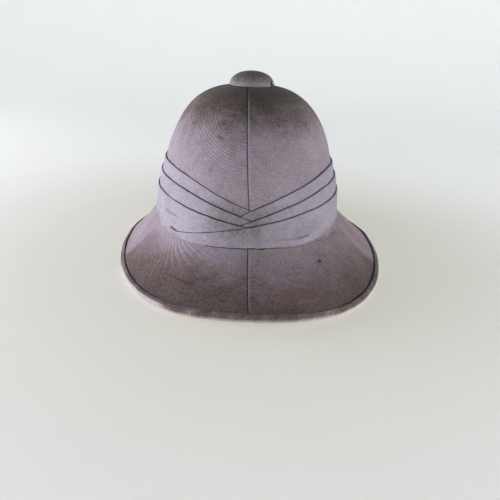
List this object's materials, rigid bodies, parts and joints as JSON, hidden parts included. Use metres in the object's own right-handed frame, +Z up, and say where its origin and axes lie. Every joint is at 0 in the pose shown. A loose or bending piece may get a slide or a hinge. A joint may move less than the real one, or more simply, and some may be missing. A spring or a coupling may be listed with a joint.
{
  "type": "pith helmet",
  "caption": "Foreign-service sun helmet with an oval cloth-covered crown, a sloping bell brim, a crossed pleated band, a bound edge and a domed ventilator button",
  "frame": {"origin": "the middle of the helmet's box, at the lowest point of the brim's bound edge", "axes": "+Z is up as worn, -Y is the front of the helmet, +X is to the right of the picture; the long way of the brim runs along Y"},
  "size_m": [0.2724, 0.355, 0.1869],
  "materials": {
    "pith": "matte, pressed pith",
    "cover_cloth": "worn khaki drill",
    "puggaree_cloth": "pleated khaki cotton",
    "binding_cloth": "khaki tape, soiled",
    "brass": "dull"
  },
  "bodies": {
    "root": {"pith_shell": "pith", "crown_panel_left": "cover_cloth", "crown_panel_right": "cover_cloth", "brim_panel_left": "cover_cloth", "brim_panel_right": "cover_cloth", "fold_left_1": "puggaree_cloth", "fold_left_2": "puggaree_cloth", "fold_left_3": "puggaree_cloth", "fold_right_1": "puggaree_cloth", "fold_right_2": "puggaree_cloth", "fold_right_3": "puggaree_cloth", "edge_binding": "binding_cloth", "ventilator_cap": "cover_cloth", "ventilator_collar": "brass"}
  },
  "joints": []
}
